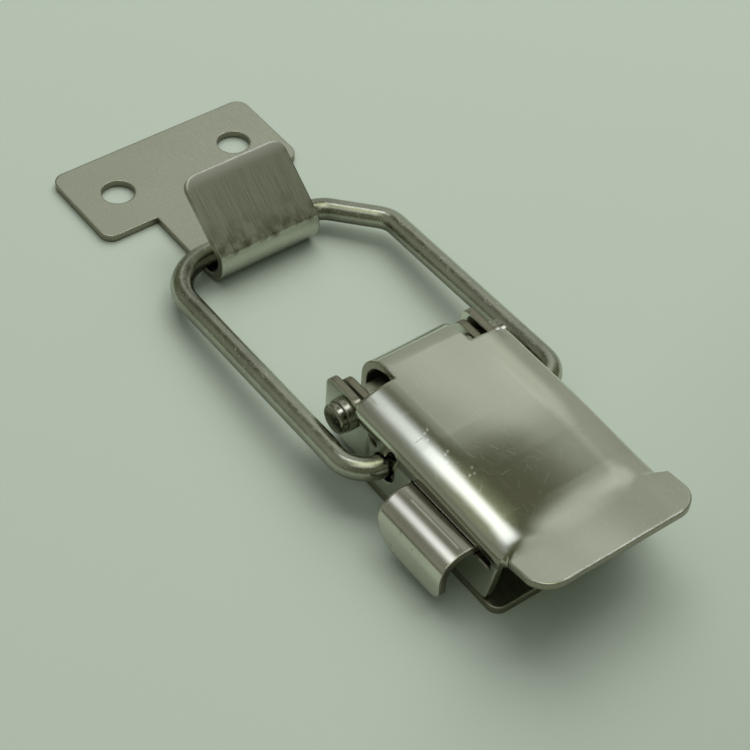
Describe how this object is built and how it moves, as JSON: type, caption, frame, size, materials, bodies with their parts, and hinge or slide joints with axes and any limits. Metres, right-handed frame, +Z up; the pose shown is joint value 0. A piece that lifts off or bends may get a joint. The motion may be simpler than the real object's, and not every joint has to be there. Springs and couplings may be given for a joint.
{
  "type": "over centre toggle latch",
  "caption": "Stainless steel over centre toggle latch with a wire bail, a hooked keeper and a sprung safety catch, shut.",
  "frame": {"origin": "on the base's mounting face, straight under the lever's pivot, in the middle of the latch", "axes": "+X forward from the lever to the keeper, +Y to the side of the catch's thumb tab, +Z up from the mounting face"},
  "size_m": [0.1146, 0.0402, 0.0143],
  "materials": {
    "base_steel": "satin",
    "keeper_steel": "satin",
    "lever_steel": "satin",
    "bail_wire": "polished",
    "pin_steel": "polished",
    "washer_steel": "satin",
    "sleeve_steel": "satin",
    "catch_steel": "satin",
    "spring_steel": "satin"
  },
  "bodies": {
    "base": {"base": "base_steel", "keeper": "keeper_steel", "pivot_pin": "pin_steel", "pivot_washers": "washer_steel", "pivot_sleeve": "sleeve_steel"},
    "lever": {"lever": "lever_steel", "catch_spring": "spring_steel"},
    "bail": {"bail": "bail_wire"},
    "safety_catch": {"safety_catch": "catch_steel"}
  },
  "joints": [
    {"name": "lever_pivot", "type": "hinge", "parent": "base", "child": "lever", "pos_m": [0, 0, 0.0079], "axis": [0, 1, 0], "range_deg": [0, 110]},
    {"name": "bail_pivot", "type": "hinge", "parent": "lever", "child": "bail", "pos_m": [-0.01, 0, 0.0065], "axis": [0, 1, 0], "range_deg": [-98, 0]},
    {"name": "catch_slide", "type": "slide", "parent": "lever", "child": "safety_catch", "axis": [-1, 0, 0], "range_m": [0, 0.003], "stiffness_N_per_m": 400, "deforming": ["catch_spring"]}
  ],
  "couplings": [
    {"joint": "bail_pivot", "follows": "lever_pivot", "ratio": -0.89}
  ]
}
